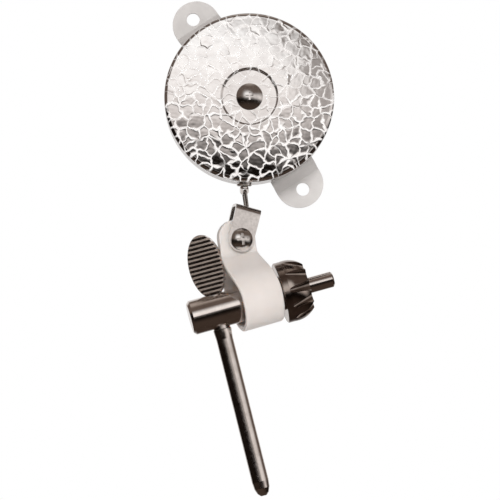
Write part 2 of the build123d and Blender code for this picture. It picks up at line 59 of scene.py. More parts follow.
# ---- driving dimensions of the reel, metres, as in the CAD ----
CASE_RADIUS = 28.6 * MM
SHEET = 0.8 * MM
CUP_FRONT = 14.6 * MM
SEAM_GAP = 0.15 * MM
COVER_SHOULDER = 1.4 * MM
COVER_FLAT = 18.8 * MM
COVER_CROWN = 20.1 * MM
DISH_RADIUS = 9.75 * MM
DISH_DEPTH = 0.6 * MM
POST_HOLE = 2.6 * MM
LIP_BACK = 13.1 * MM

# ---- embossed grain of the cover ----
GRAIN_PITCH = 3.4 * MM
GRAIN_HEIGHT = 0.06 * MM
GRAIN_LINE = 0.26 * MM  # half a raised line's width
GRAIN_LEAST_LINE = 0.12 * MM
GRAIN_SCATTER = 0.48  # how far a cell's seed may stray, as a share of the pitch
GRAIN_TIP = 0.015  # the usual slope of a cell's face
GRAIN_SEED = 11
GRAIN_RIPPLE = 0.002 * MM
NEAR_CELLS = 7
VEIN = "vein"  # the point attribute that holds how far a point lies on a raised line

# ---- rings of points in the cover's mesh ----
COVER_COLUMNS = 1080
DISH_ROWS = 36
CROWN_ROWS = 112
CROWN_BULGE = 0.22 * MM
SHOULDER_ROWS = 22

# ---- nylon loop strap ----
YAW = 12.5
SCREW_PLACE = Vector((-3.283 * MM, -10.995 * MM, -47.515 * MM))
SCREW_HOLE = 2.1 * MM
LOOP_TILT = 15.8
LOOP_INNER_RADIUS = 9.7 * MM
LOOP_THICK = 1.7 * MM
LOOP_WIDTH = 13.8 * MM
LOOP_DROP = 18.9 * MM
TAB_WIDTH = 12.6 * MM
TAB_ABOVE_SCREW = 7.0 * MM
TAB_LEAN = 7.0
TAB_SHIFT = -0.35 * MM
TAB_SHIFT_SLOPE = 0.13
KNEE_DROP = 5.4 * MM
KNEE_RADIUS = 3.0 * MM
STRAP_EDGE = 0.42 * MM
TIP_WIDTH = 1.2 * MM

# ---- key ----
KEY_TILT = 15.6
BAR_TILT = 14.2
KEY_YAW = 4.0
BAR_CROSSING = Vector((-10.5 * MM, -10.6 * MM, -71.5 * MM))
# span of the pinion along the key, where the key's material paints shade
PINION_SPAN = (21.2 * MM, 32.0 * MM)
# where the stripes of painted shade on the pad's ribs lie, and their pitch
PAD_SPAN = (5.4 * MM, 27.0 * MM)
PAD_CENTRE = 15.5 * MM
RIB_PITCH = 1.46 * MM

# ---- tether ----
TETHER_RADIUS = 0.8 * MM
PLAIT_STRANDS = 6
PLAIT_TWIST = 12  # radians over the cord's length
PLAIT_DEPTH = 0.03

# ---- camera and stage ----
CAMERA_PLACE = (-18.7 * MM, -655.3 * MM, -91.5 * MM)
CAMERA_AZIMUTH = 1.7
CAMERA_ELEVATION = 3.6
CAMERA_REACH = 650 * MM
CAMERA_HALF_WIDTH = 85 * MM
FLOOR_Z = -0.82
FLOOR_RADIUS = 3.0
FLOOR_SIDES = 96
LIGHT_TARGET = (0, 0, -0.05)
LIGHTS = (
    # name, place, size, watts
    ("front_light", (0.4, -1.4, 0.7), (1.4, 1.0), 10),
    ("key_light", (-0.15, -1.5, 0.4), (0.3, 0.3), 9),
    ("low_fill", (0.1, -1.3, -0.55), (1.4, 0.4), 3),
    ("back_light", (-0.5, 1.5, 0.9), (1.4, 1.0), 8),
)

# ---- light tent: colours, and edges in degrees up from level or round to the right from the front ----
TENT_WINDOW = (1.2, 1.185, 1.175)
TENT_WINDOW_LOW = (0.84, 0.78, 0.75)
TENT_BACK = (0.80, 0.78, 0.77)
TENT_SIDE = (0.12, 0.09, 0.075)
TENT_TOP = (0.44, 0.38, 0.34)
TENT_DARK = (0.006, 0.004, 0.003)
TENT_FLOOR = (0.05, 0.034, 0.026)
WINDOW_LOW = 3.5
WINDOW_LOW_SLOPE = 0.15  # the window's edges fall towards the right
WINDOW_LOW_FADE = (-11.5, 6.5)
WINDOW_TOP = 36.0
WINDOW_TOP_SLOPE = 0.8
WINDOW_TOP_LEAST = 20.0
WINDOW_TOP_FADE = (-21.0, 7.0)
WINDOW_SLOPE_END = 80.0
WINDOW_LEFT_FADE = (-40.0, -14.0)
WINDOW_RIGHT_FADE = (62.0, 96.0)
WINDOW_GLOW_FADE = (0.0, 24.0)
WINDOW_BAR_LEFT_FADE = (9.0, 15.0)
WINDOW_BAR_RIGHT_FADE = (17.0, 24.0)
WINDOW_BAR_SHADE = 0.55  # how much light a dim upright bar in the window takes away
SIDE_FADE = (-4.0, 9.0)
TOP_FADE = (60.0, 84.0)
FLOOR_FADE = (-45.0, -14.0)
BACK_TURN_FADE = (125.0, 150.0)
BACK_LOW_FADE = (-45.0, 0.0)
BACK_TOP_FADE = (35.0, 60.0)


def leaning(tilt, yaw):
    """Level and upright axes of a frame that is tilted up by tilt degrees and turned by yaw."""
    tilt, yaw = math.radians(tilt), math.radians(yaw)
    level = Vector((math.cos(yaw), math.sin(yaw), 0))
    up = Vector((0, 0, 1))
    return level * math.cos(tilt) + up * math.sin(tilt), up * math.cos(tilt) - level * math.sin(tilt)


KEY_AXIS = leaning(KEY_TILT, KEY_YAW)[0]
BAR_AXIS = leaning(BAR_TILT, KEY_YAW)[1]


# ---------------------------------------------------------------- mesh helpers
def mesh_object(name, verts, faces, smooth=True):
    mesh = bpy.data.meshes.new(name)
    mesh.from_pydata([tuple(v) for v in verts], [], [tuple(f) for f in faces])
    mesh.update()
    if smooth:
        mesh.polygons.foreach_set("use_smooth", [True] * len(mesh.polygons))
    made = bpy.data.objects.new(name, mesh)
    bpy.context.scene.collection.objects.link(made)
    return made


def grid_faces(rows, columns, close_rows=False):
    """Quads of a rows x columns grid of vertices: each row is a ring, and the rows may close as well."""
    r = np.arange(rows if close_rows else rows - 1)
    rr, cc = np.meshgrid(r, np.arange(columns), indexing="ij")
    below = (rr + 1) % rows
    beside = (cc + 1) % columns
    quads = [rr * columns + cc, rr * columns + beside, below * columns + beside, below * columns + cc]
    return np.stack(quads, axis=-1).reshape(-1, 4)


def tube_faces(rows, columns):
    """Quads of a tube of rings, and a flat face on each end."""
    faces = [tuple(f) for f in grid_faces(rows, columns)]
    faces.append(tuple(range(columns)))
    faces.append(tuple(reversed(range((rows - 1) * columns, rows * columns))))
    return faces


def recalculate(made):
    """Turns every face outward."""
    work = bmesh.new()
    work.from_mesh(made.data)
    bmesh.ops.recalc_face_normals(work, faces=work.faces)
    work.to_mesh(made.data)
    work.free()


def bore(made, place, direction, radius, length):
    """Cuts a round hole through a piece."""
    work = bmesh.new()
    bmesh.ops.create_cone(work, cap_ends=True, segments=64, radius1=radius, radius2=radius, depth=length)
    mesh = bpy.data.meshes.new("cutter")
    work.to_mesh(mesh)
    work.free()
    cutter = bpy.data.objects.new("cutter", mesh)
    cutter.rotation_mode = "QUATERNION"
    cutter.rotation_quaternion = direction.to_track_quat("Z", "Y")
    cutter.location = place
    recalculate(cutter)
    bpy.context.scene.collection.objects.link(cutter)
    cut = made.modifiers.new("bore", "BOOLEAN")
    cut.object = cutter
    cut.operation = "DIFFERENCE"
    cut.solver = "EXACT"
    bpy.context.view_layer.update()
    evaluated = made.evaluated_get(bpy.context.evaluated_depsgraph_get())
    bored = bpy.data.meshes.new_from_object(evaluated)
    made.modifiers.clear()
    made.data = bored
    bpy.data.objects.remove(cutter)


# ---------------------------------------------------------------- embossed cover
def waves(x, z, size, seed):
    """Smooth noise about 0, rarely past -1.5 or 1.5, made of plane waves about size long."""
    rng = np.random.default_rng(seed)
    total = np.zeros_like(x)
    count = 7
    for _ in range(count):
        angle = rng.uniform(0, 2 * math.pi)
        length = size * rng.uniform(0.7, 1.5)
        phase = rng.uniform(0, 2 * math.pi)
        total += np.sin((x * math.cos(angle) + z * math.sin(angle)) * 2 * math.pi / length + phase)
    return total / math.sqrt(count)


def smooth_step(value, low, high):
    t = np.clip((value - low) / (high - low), 0, 1)
    return t * t * (3 - 2 * t)


def wander(x, z, seed):
    """How far the cells' outlines stray from straight."""
    return 0.55 * MM * waves(x, z, 7 * MM, seed) + 0.18 * MM * waves(x, z, 2 * MM, seed + 1)


def line_strength(x, z):
    """How strongly the lines are raised: in patches, and less on the cover's upper half."""
    patches = 0.3 + 0.7 * smooth_step(waves(x, z, 6 * MM, 6), -1.4, -0.4)
    return patches * (0.5 + 0.5 * smooth_step(-z, -8 * MM, 8 * MM))


def grain(x, z):
    """The pressed grain: its height, and how far each point lies on a raised line between the cells."""
    rng = np.random.default_rng(GRAIN_SEED)
    reach = CASE_RADIUS + 2 * GRAIN_PITCH
    ticks = np.arange(-reach, reach, GRAIN_PITCH)
    sx, sz = (s.ravel() for s in np.meshgrid(ticks, ticks))
    sx = sx + rng.uniform(-GRAIN_SCATTER, GRAIN_SCATTER, sx.size) * GRAIN_PITCH
    sz = sz + rng.uniform(-GRAIN_SCATTER, GRAIN_SCATTER, sz.size) * GRAIN_PITCH
    tip_x = rng.normal(0, GRAIN_TIP, sx.size)
    tip_z = rng.normal(0, GRAIN_TIP, sx.size)

    wx = x + wander(x, z, 1)
    wz = z + wander(x, z, 3)
    height = np.empty_like(x)
    vein = np.empty_like(x)
    batch = 20000
    for start in range(0, x.size, batch):
        part = slice(start, start + batch)
        px, pz = wx[part, None], wz[part, None]
        square = (px - sx) ** 2 + (pz - sz) ** 2
        near = np.argpartition(square, NEAR_CELLS, axis=1)[:, :NEAR_CELLS]
        near_square = np.take_along_axis(square, near, axis=1)
        order = np.argsort(near_square, axis=1)
        near = np.take_along_axis(near, order, axis=1)
        near_square = np.take_along_axis(near_square, order, axis=1)
        home, others = near[:, :1], near[:, 1:]
        apart = np.hypot(sx[home] - sx[others], sz[home] - sz[others])
        border = ((near_square[:, 1:] - near_square[:, :1]) / (2 * apart)).min(axis=1)
        cell = home[:, 0]
        tip = tip_x[cell] * (px[:, 0] - sx[cell]) + tip_z[cell] * (pz[:, 0] - sz[cell])
        width = GRAIN_LINE * (1 + 0.35 * waves(x[part], z[part], 5 * MM, 5))
        strength = line_strength(x[part], z[part])
        line = np.exp(-((border / np.maximum(width, GRAIN_LEAST_LINE)) ** 2))
        flat = smooth_step(border, 0.1 * MM, 0.7 * MM)
        vein[part] = line * strength
        height[part] = GRAIN_HEIGHT * line * strength**2 + tip * flat
    return height + GRAIN_RIPPLE * waves(x, z, 1.3 * MM, 7), vein


def cover_profile():
    """The cover's section as (radius, depth, share of the grain) points, round the closed outline."""
    shoulder = (CASE_RADIUS - COVER_SHOULDER, COVER_FLAT - COVER_SHOULDER)
    floor_depth = COVER_CROWN - DISH_DEPTH
    points = [(POST_HOLE, floor_depth, 0.0)]
    for r in np.linspace(POST_HOLE + 0.5 * MM, DISH_RADIUS - 0.85 * MM, DISH_ROWS):
        points.append((r, floor_depth, smooth_step(r, 3.5 * MM, 6 * MM) * 0.5))
    wall = [(0.72, 0.02), (0.6, 0.08), (0.5, 0.25), (0.4, 0.5), (0.3, 0.75), (0.2, 0.92), (0.05, 1.0)]
    for inward, rise in wall:
        points.append((DISH_RADIUS - inward * MM, COVER_CROWN - DISH_DEPTH * (1 - rise), 1.0))
    crown_start = DISH_RADIUS + 0.1 * MM
    for i in range(CROWN_ROWS):
        t = i / CROWN_ROWS
        depth = COVER_CROWN + (COVER_FLAT - COVER_CROWN) * t + 4 * CROWN_BULGE * t * (1 - t)
        points.append((crown_start + (shoulder[0] - crown_start) * t, depth, 1.0))
    for degrees in np.linspace(90, 0, SHOULDER_ROWS):
        r = shoulder[0] + COVER_SHOULDER * math.cos(math.radians(degrees))
        depth = shoulder[1] + COVER_SHOULDER * math.sin(math.radians(degrees))
        points.append((r, depth, float(smooth_step(degrees, 8, 34))))
    return np.array(points + cover_inside(shoulder, floor_depth))


def cover_inside(shoulder, floor_depth):
    """The plain rest of the section: the rim, the lip that goes into the cup, and the inner face."""
    edge = CUP_FRONT + SEAM_GAP
    lip = CASE_RADIUS - SHEET - 0.05 * MM
    inner = lip - SHEET
    radius = COVER_SHOULDER - SHEET
    points = [
        (CASE_RADIUS, edge + 0.2 * MM),
        (CASE_RADIUS - 0.15 * MM, edge),
        (lip, edge),
        (lip, LIP_BACK),
        (inner, LIP_BACK),
        (inner, shoulder[1] - 1.2 * MM),
        (CASE_RADIUS - SHEET, shoulder[1]),
    ]
    for degrees in (20, 40, 60, 80):
        a = math.radians(degrees)
        points.append((shoulder[0] + radius * math.cos(a), shoulder[1] + radius * math.sin(a)))
    points += [
        (shoulder[0], COVER_FLAT - SHEET),
        (DISH_RADIUS, floor_depth - SHEET),
        (POST_HOLE, floor_depth - SHEET),
    ]
    return [(r, depth, 0.0) for r, depth in points]


def embossed_cover():
    profile = cover_profile()
    columns = COVER_COLUMNS
    angle = np.arange(columns) * 2 * math.pi / columns
    ahead = np.roll(profile[:, :2], -1, axis=0)
    behind = np.roll(profile[:, :2], 1, axis=0)
    along = ahead - behind
    along /= np.linalg.norm(along, axis=1)[:, None]
    normal = np.stack([-along[:, 1], along[:, 0]], axis=1)
    r = np.repeat(profile[:, :1], columns, axis=1)
    depth = np.repeat(profile[:, 1:2], columns, axis=1)
    share = np.repeat(profile[:, 2:3], columns, axis=1)
    around = np.repeat(angle[None, :], len(profile), axis=0)
    height, vein = grain((r * np.cos(around)).ravel(), (r * np.sin(around)).ravel())
    height = height.reshape(r.shape) * share
    r = r + normal[:, :1] * height
    depth = depth + normal[:, 1:2] * height
    r = np.minimum(r, CASE_RADIUS)
    verts = np.stack([r * np.cos(around), -depth, r * np.sin(around)], axis=-1).reshape(-1, 3)
    cover = mesh_object("cover_embossed", verts, grid_faces(len(profile), columns, close_rows=True))
    mask = cover.data.attributes.new(VEIN, "FLOAT", "POINT")
    mask.data.foreach_set("value", (vein * share.ravel()).astype(np.float32))
    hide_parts("front_cover")
    dress(cover, "chrome_case")
    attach(cover, "reel")


# ---------------------------------------------------------------- materials
class Shader:
    """A small builder for one Principled material."""

    def __init__(self, name, **values):
        self.material = bpy.data.materials.new(name)
        self.material.use_nodes = True
        self.tree = self.material.node_tree
        self.principled = self.tree.nodes["Principled BSDF"]
        self.place = self.tree.nodes.new("ShaderNodeTexCoord").outputs["Object"]
        for socket, value in values.items():
            self.principled.inputs[socket.replace("_", " ")].default_value = value

    def noise(self, scale, detail, stretch=None):
        """Noise; stretch is a pair, the scales along the three axes and the turns about them."""
        node = self.tree.nodes.new("ShaderNodeTexNoise")
        node.inputs["Scale"].default_value = scale
        node.inputs["Detail"].default_value = detail
        source = self.place
        if stretch:
            mapping = self.tree.nodes.new("ShaderNodeMapping")
            scales, turns = stretch
            mapping.inputs["Rotation"].default_value = [math.radians(a) for a in turns]
            mapping.inputs["Scale"].default_value = scales
            self.tree.links.new(source, mapping.inputs["Vector"])
            source = mapping.outputs["Vector"]
        self.tree.links.new(source, node.inputs["Vector"])
        return node.outputs["Fac"]

    def ramp(self, source, stops):
        node = self.tree.nodes.new("ShaderNodeValToRGB")
        elements = node.color_ramp.elements
        while len(elements) < len(stops):
            elements.new(0.5)
        for element, (position, colour) in zip(elements, stops):
            element.position = position
            element.color = (*colour, 1)
        self.tree.links.new(source, node.inputs["Fac"])
        return node.outputs["Color"]

    def colour(self, source, stops):
        self.tree.links.new(self.ramp(source, stops), self.principled.inputs["Base Color"])

    def math(self, operation, first, second):
        node = self.tree.nodes.new("ShaderNodeMath")
        node.operation = operation
        for socket, value in zip(node.inputs, (first, second)):
            if isinstance(value, float):
                socket.default_value = value
            else:
                self.tree.links.new(value, socket)
        return node.outputs[0]

    def along(self, axis, origin):
        """Distance from the origin along an axis."""
        node = self.tree.nodes.new("ShaderNodeVectorMath")
        node.operation = "DOT_PRODUCT"
        node.inputs[1].default_value = axis
        self.tree.links.new(self.place, node.inputs[0])
        return self.math("SUBTRACT", node.outputs["Value"], axis.dot(origin))

    def stretch_between(self, source, low, high):
        """1 from low to high and 0 outside, with a narrow fade."""
        fade = 0.4 * MM
        shares = []
        for edge, sign in ((low, 1), (high, -1)):
            node = self.tree.nodes.new("ShaderNodeMapRange")
            node.inputs["From Min"].default_value = edge - sign * fade
            node.inputs["From Max"].default_value = edge + sign * fade
            self.tree.links.new(source, node.inputs["Value"])
            shares.append(node.outputs["Result"])
        return self.math("MULTIPLY", *shares)

    def mix(self, share, first, second):
        """Base colour from the first to the second as the share goes from 0 to 1."""
        node = self.tree.nodes.new("ShaderNodeMix")
        node.data_type = "RGBA"
        self.tree.links.new(share, node.inputs["Factor"])
        self.tree.links.new(first, node.inputs[6])
        self.tree.links.new(second, node.inputs[7])
        self.tree.links.new(node.outputs[2], self.principled.inputs["Base Color"])

    def link(self, source, socket, spread, values):
        """Takes a socket from one value to another while the source runs over the spread."""
        node = self.tree.nodes.new("ShaderNodeMapRange")
        for name, value in zip(("From Min", "From Max", "To Min", "To Max"), (*spread, *values)):
            node.inputs[name].default_value = value
        self.tree.links.new(source, node.inputs["Value"])
        self.tree.links.new(node.outputs["Result"], self.principled.inputs[socket])

    def roughness(self, source, low, high):
        self.link(source, "Roughness", (0.3, 0.7), (low, high))

    def bump(self, source, distance):
        """Adds a relief to those already there."""
        node = self.tree.nodes.new("ShaderNodeBump")
        node.inputs["Distance"].default_value = distance
        self.tree.links.new(source, node.inputs["Height"])
        before = self.principled.inputs["Normal"].links
        if before:
            self.tree.links.new(before[0].from_socket, node.inputs["Normal"])
        self.tree.links.new(node.outputs["Normal"], self.principled.inputs["Normal"])


def veined_chrome(name):
    """Bright cells, and raised lines whose plating has a satin bloom."""
    s = Shader(name)
    s.colour(s.noise(260, 4), [(0.3, (0.80, 0.78, 0.77)), (0.7, (0.93, 0.92, 0.91))])
    mask = s.tree.nodes.new("ShaderNodeAttribute")
    mask.attribute_name = VEIN
    s.link(mask.outputs["Fac"], "Metallic", (0.05, 0.7), (1.0, 0.12))
    s.link(mask.outputs["Fac"], "Roughness", (0.05, 0.7), (0.07, 0.36))
    s.bump(s.noise(1500, 3), 0.003 * MM)
    return s.material


def satin_zinc(name):
    s = Shader(name, Metallic=0.25, Roughness=0.5)
    s.colour(s.noise(150, 5), [(0.3, (0.63, 0.61, 0.595)), (0.7, (0.72, 0.70, 0.685))])
    s.roughness(s.noise(600, 4), 0.38, 0.52)
    s.bump(s.noise(2600, 4), 0.012 * MM)
    return s.material


def polished_cup(name):
    s = Shader(name, Metallic=1.0, Roughness=0.18)
    s.colour(s.noise(200, 4), [(0.3, (0.62, 0.60, 0.59)), (0.7, (0.74, 0.72, 0.71))])
    s.roughness(s.noise(700, 4, ((1, 6, 1), (0, 0, 0))), 0.14, 0.26)
    s.bump(s.noise(500, 4, ((1, 14, 1), (0, 0, 0))), 0.006 * MM)
    return s.material


def turned_steel(name, tilt):
    """Polished steel with a brown cast: fine turning marks round the key, and painted shade on the pinion, a
    darker base colour standing for the shade between its teeth and its dark reflections.
    """
    s = Shader(name, Metallic=1.0, Roughness=0.2)
    ground = s.ramp(
        s.noise(180, 5),
        [(0.25, (0.74, 0.68, 0.64)), (0.5, (0.86, 0.80, 0.76)), (0.8, (0.93, 0.88, 0.84))],
    )
    # painted shade: the pinion's base colour is darkened to stand for the shade between its teeth and its
    # dark reflections
    pinion_painted_shade = s.ramp(s.noise(240, 5), [(0.3, (0.27, 0.22, 0.19)), (0.7, (0.48, 0.42, 0.38))])
    s.mix(s.stretch_between(s.along(KEY_AXIS, BAR_CROSSING), *PINION_SPAN), ground, pinion_painted_shade)
    s.roughness(s.noise(900, 4), 0.09, 0.17)
    s.bump(s.noise(260, 4, ((9, 0.6, 0.6), (0, tilt, 0))), 0.010 * MM)
    s.bump(s.noise(1400, 4), 0.003 * MM)
    return s.material


def drawn_steel(name, tilt):
    """Drawn bar stock: lengthwise marks, small pits, and dark stripes along the crests of the pad's ribs,
    painted shade standing for the ribs shading one another.
    """
    s = Shader(name, Roughness=0.18)
    drawn = s.ramp(
        s.noise(220, 5),
        [(0.25, (0.72, 0.66, 0.62)), (0.5, (0.86, 0.81, 0.77)), (0.8, (0.94, 0.89, 0.86))],
    )
    # painted shade: dark, less metallic stripes along the pad's ribs stand for the shade the ribs cast on
    # one another
    rib_painted_shade = s.ramp(s.noise(400, 4), [(0.3, (0.25, 0.19, 0.15)), (0.7, (0.37, 0.29, 0.24))])
    along = s.along(BAR_AXIS, BAR_CROSSING)
    turns = s.math("MULTIPLY", s.math("SUBTRACT", along, PAD_CENTRE), 2 * math.pi / RIB_PITCH)
    crest = s.math("MAXIMUM", s.math("COSINE", turns, 0.0), 0.0)
    rib_shade_share = s.math("MULTIPLY", crest, s.stretch_between(along, *PAD_SPAN))
    s.mix(rib_shade_share, drawn, rib_painted_shade)
    s.link(rib_shade_share, "Metallic", (0.1, 0.8), (1.0, 0.35))
    s.roughness(s.noise(800, 4), 0.12, 0.24)
    s.bump(s.noise(300, 3, ((8, 8, 0.5), (0, tilt, 0))), 0.003 * MM)
    s.bump(s.noise(900, 5), 0.004 * MM)
    return s.material


def bright_nickel(name):
    s = Shader(name, Metallic=1.0, Roughness=0.18)
    s.colour(s.noise(300, 4), [(0.3, (0.82, 0.79, 0.77)), (0.7, (0.94, 0.92, 0.90))])
    s.roughness(s.noise(1100, 4), 0.14, 0.26)
    s.bump(s.noise(1600, 4), 0.006 * MM)
    return s.material


def grey_wire(name):
    s = Shader(name, Metallic=1.0, Roughness=0.25)
    s.colour(s.noise(500, 3), [(0.3, (0.42, 0.39, 0.36)), (0.7, (0.60, 0.57, 0.54))])
    s.roughness(s.noise(1500, 3), 0.18, 0.34)
    s.bump(s.noise(2500, 2), 0.004 * MM)
    return s.material


def milky_nylon(name):
    s = Shader(
        name,
        Roughness=0.4,
        IOR=1.53,
        Subsurface_Weight=0.75,
        Subsurface_Radius=(1.0, 0.85, 0.75),
        Subsurface_Scale=1.6 * MM,
    )
    s.colour(s.noise(90, 4), [(0.3, (0.66, 0.62, 0.59)), (0.7, (0.73, 0.69, 0.665))])
    s.roughness(s.noise(500, 4), 0.34, 0.5)
    s.bump(s.noise(350, 5), 0.02 * MM)
    s.bump(s.noise(1800, 3), 0.006 * MM)
    return s.material


def dark_plastic(name):
    s = Shader(name, Roughness=0.5)
    s.colour(s.noise(400, 3), [(0.3, (0.030, 0.030, 0.031)), (0.7, (0.045, 0.045, 0.046))])
    s.roughness(s.noise(900, 3), 0.42, 0.58)
    s.bump(s.noise(1500, 3), 0.01 * MM)
    return s.material


def white_plastic(name):
    s = Shader(name, Roughness=0.45)
    s.colour(s.noise(400, 3), [(0.3, (0.74, 0.73, 0.70)), (0.7, (0.80, 0.79, 0.77))])
    s.roughness(s.noise(900, 3), 0.38, 0.52)
    return s.material


def braided_cord(name):
    s = Shader(name, Roughness=0.75, Sheen_Weight=0.2)
    s.colour(s.noise(1800, 4), [(0.3, (0.035, 0.033, 0.031)), (0.7, (0.075, 0.072, 0.068))])
    s.roughness(s.noise(2500, 3), 0.62, 0.85)
    s.bump(s.noise(3000, 3), 0.02 * MM)
    return s.material


MATERIALS = {
    "zinc_strap": satin_zinc("zinc_strap"),
    "chrome_case": veined_chrome("chrome_case"),
    "cup_steel": polished_cup("cup_steel"),
    "rivet_chrome": bright_nickel("rivet_chrome"),
    "post_steel": bright_nickel("post_steel"),
    "drum_plastic": dark_plastic("drum_plastic"),
    "spring_steel": grey_wire("spring_steel"),
    "washer_plastic": white_plastic("washer_plastic"),
    "tether_cord": braided_cord("tether_cord"),
    "link_wire": grey_wire("link_wire"),
    "clip_chrome": bright_nickel("clip_chrome"),
    "screw_nickel": bright_nickel("screw_nickel"),
    "nylon": milky_nylon("nylon"),
    "key_steel": turned_steel("key_steel", KEY_TILT),
    "bar_steel": drawn_steel("bar_steel", -BAR_TILT),
}


def dress(made, slot_name):
    made.data.materials.clear()
    made.data.materials.append(MATERIALS[slot_name])


def dress_frame():
    """Gives every CAD node the material of its slot in the record."""
    for part in frame["record"]["subparts"]:
        dress(frame["nodes"][part["node"]], part["material_slot"])


# ---------------------------------------------------------------- nylon loop strap
def hermite(value, start, end):
    """A smooth curve between two (place, height, slope) ends, straight beyond them."""
    (x0, y0, m0), (x1, y1, m1) = start, end
    if value <= x0:
        return y0 + m0 * (value - x0)
    if value >= x1:
        return y1 + m1 * (value - x1)
    span = x1 - x0
    t = (value - x0) / span
    return (
        (2 * t**3 - 3 * t**2 + 1) * y0
        + (t**3 - 2 * t**2 + t) * span * m0
        + (3 * t**2 - 2 * t**3) * y1
        + (t**3 - t**2) * span * m1
    )


def strap_line():
    """The strap's middle line as (forward, drop) points, from the front tab's top round to the back's."""
    radius = LOOP_INNER_RADIUS + LOOP_THICK / 2
    tab = 0.1 * MM + LOOP_THICK / 2
    knee = Vector((tab, KNEE_DROP))
    centre = Vector((0, LOOP_DROP))
    to_knee = knee - centre
    swing = math.acos(radius / to_knee.length)
    start_angle = math.atan2(to_knee.y, to_knee.x) + swing
    touch = centre + radius * Vector((math.cos(start_angle), math.sin(start_angle)))
    out = (touch - knee).normalized()
    cut = KNEE_RADIUS * math.tan(math.acos(out.y) / 2)
    corner = [knee - Vector((0, cut)), knee, knee + out * cut]
    half = [Vector((tab, -TAB_ABOVE_SCREW + step * MM)) for step in np.arange(0, 40) * 0.3]
    half = [p for p in half if p.y < corner[0].y]
    for t in np.linspace(0, 1, 10):
        half.append(corner[0] * (1 - t) ** 2 + corner[1] * 2 * t * (1 - t) + corner[2] * t**2)
    half += [corner[2].lerp(touch, t) for t in np.linspace(0.1, 0.9, 9)]
    half += [
        centre + radius * Vector((math.cos(a), math.sin(a)))
        for a in np.linspace(start_angle, math.pi / 2, 40)
    ]
    return half + [Vector((-p.x, p.y)) for p in reversed(half[:-1])]


def strap_section(width, thick, edge):
    """A rounded rectangle as (across, outward) points, its two flat faces divided into more points."""
    points = []
    for cx, cy, start in ((1, 1, 0), (-1, 1, 90), (-1, -1, 180), (1, -1, 270)):
        for a in (0, 30, 60, 90):
            angle = math.radians(start + a)
            points.append(
                (
                    cx * (width / 2 - edge) + edge * math.cos(angle),
                    cy * (thick / 2 - edge) + edge * math.sin(angle),
                )
            )
    flat_faces = (3, 11)
    divided = []
    for i, (a, b) in enumerate(zip(points, points[1:] + points[:1])):
        divided.append(a)
        if i in flat_faces:
            a, b = np.array(a), np.array(b)
            divided += [tuple(a + (b - a) * t) for t in np.linspace(0.12, 0.88, 7)]
    return divided


def strap_width(drop):
    """The strap's width at a drop below the screw: rounded at the tab's top and widening to the loop."""
    width = hermite(drop, (3 * MM, TAB_WIDTH, 0), (12 * MM, LOOP_WIDTH, 0))
    from_top = max(drop + TAB_ABOVE_SCREW, 0)
    round_radius = width / 2 - 0.2 * MM
    if from_top < round_radius:
        width -= 2 * (round_radius - math.sqrt(round_radius**2 - (round_radius - from_top) ** 2))
    return max(width, TIP_WIDTH)


def nylon_loop():
    level = Vector((math.cos(math.radians(YAW)), math.sin(math.radians(YAW)), 0))
    front = Vector((level.y, -level.x, 0))
    up = Vector((0, 0, 1))
    lean = math.sin(math.radians(LOOP_TILT))
    line = strap_line()
    count = len(line)
    rings = []
    for i, point in enumerate(line):
        along = (line[min(i + 1, count - 1)] - line[max(i - 1, 0)]).normalized()
        outward = Vector((along.y, -along.x))
        drop = point.y
        tilt = math.radians(hermite(drop, (2 * MM, TAB_LEAN, 0), (14 * MM, LOOP_TILT, 0)))
        tab_end = (4.8 * MM, TAB_SHIFT, TAB_SHIFT_SLOPE)
        sideways = hermite(drop, tab_end, (LOOP_DROP, LOOP_DROP * lean, lean))
        fall = drop * math.cos(math.radians(LOOP_TILT))
        across_dir = level * math.cos(tilt) + up * math.sin(tilt)
        down_dir = level * math.sin(tilt) - up * math.cos(tilt)
        centre = SCREW_PLACE + level * sideways - up * fall + front * point.x
        normal = front * outward.x + down_dir * outward.y
        section = strap_section(strap_width(drop), LOOP_THICK, STRAP_EDGE)
        rings.append([centre + across_dir * a + normal * o for a, o in section])
    columns = len(rings[0])
    verts = [v for ring in rings for v in ring]
    loop = mesh_object("nylon_loop_strap", verts, tube_faces(count, columns))
    recalculate(loop)
    bore(loop, SCREW_PLACE, front, SCREW_HOLE, 12 * MM)
    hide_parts("nylon_clamp")
    dress(loop, "nylon")
    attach(loop, "loop")


# ---------------------------------------------------------------- tether
def braided_tether():
    """The stretch that is drawn out: a plaited cord, in 48 rings along its length."""
    low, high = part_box("tether_lead")
    centre = (low + high) / 2
    rows, columns = 48, 48
    t = np.linspace(0, 1, rows)
    angle = np.arange(columns) * 2 * math.pi / columns
    tt, aa = np.meshgrid(t, angle, indexing="ij")
    round_way, long_way = PLAIT_STRANDS * aa, PLAIT_TWIST * tt
    plait = np.sin(round_way + long_way) * np.sin(round_way - long_way)
    radius = TETHER_RADIUS * (1 - PLAIT_DEPTH + PLAIT_DEPTH * plait)
    x = centre.x + radius * np.cos(aa)
    y = centre.y + radius * np.sin(aa)
    z = high.z + (low.z - high.z) * tt
    verts = np.stack([x, y, z], axis=-1).reshape(-1, 3)
    cord = mesh_object("tether_cord_drawn", verts, tube_faces(rows, columns))
    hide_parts("tether_lead")
    dress(cord, "tether_cord")
    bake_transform(cord)


# ---------------------------------------------------------------- stage
def floor():
    verts = [(0, 0, FLOOR_Z)]
    for i in range(FLOOR_SIDES):
        a = 2 * math.pi * i / FLOOR_SIDES
        verts.append((FLOOR_RADIUS * math.cos(a), FLOOR_RADIUS * math.sin(a), FLOOR_Z))
    faces = [(0, i + 1, (i + 1) % FLOOR_SIDES + 1) for i in range(FLOOR_SIDES)]
    plate = mesh_object("floor", verts, faces, smooth=False)
    s = Shader("pale_floor", Roughness=0.7, Emission_Color=(0.9, 0.9, 0.9, 1), Emission_Strength=0.45)
    s.colour(s.noise(3, 4), [(0.3, (0.78, 0.78, 0.78)), (0.7, (0.82, 0.82, 0.82))])
    plate.data.materials.append(s.material)
    plate.visible_glossy = False


